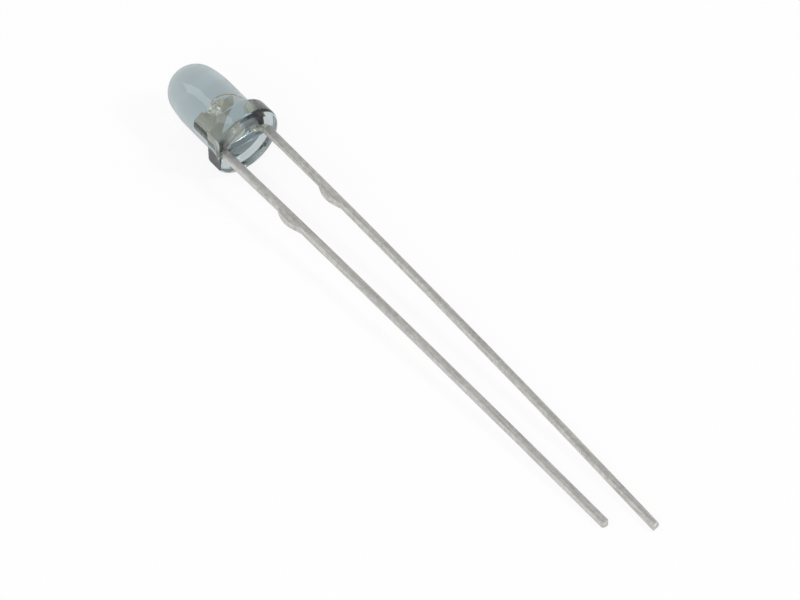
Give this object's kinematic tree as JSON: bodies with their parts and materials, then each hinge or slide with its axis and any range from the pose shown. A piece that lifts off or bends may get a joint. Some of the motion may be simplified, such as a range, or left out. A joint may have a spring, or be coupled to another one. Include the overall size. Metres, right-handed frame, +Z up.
{
  "type": "through-hole LED",
  "caption": "Round water-clear 3 mm through-hole LED: domed flanged epoxy lens with a cathode flat, and long tin-plated leads for a circuit board.",
  "frame": {"origin": "on the lens axis, in the seating plane under the flange", "axes": "+X runs along the leads away from the dome, +Y towards the anode lead, +Z up from the table; the lens axis dips 3.3 degrees towards +X because the LED lies on its flange and lead tips"},
  "size_m": [0.036, 0.0036, 0.0039],
  "materials": {
    "clear_epoxy": "glossy, water-clear cast epoxy with a faint blue-grey cast",
    "tinned_steel": "tin-plated steel strip, dull satin, fine lengthwise drawing marks",
    "chip": "sawn semiconductor, semi-gloss",
    "silver_paste": "cured silver-filled paste, matt",
    "bond_gold": "drawn gold wire, bright"
  },
  "bodies": {
    "root": {"epoxy_lens": "clear_epoxy", "cathode_lead": "tinned_steel", "anode_lead": "tinned_steel", "led_chip": "chip", "chip_paste": "silver_paste", "bond_wire": "bond_gold"}
  },
  "joints": []
}
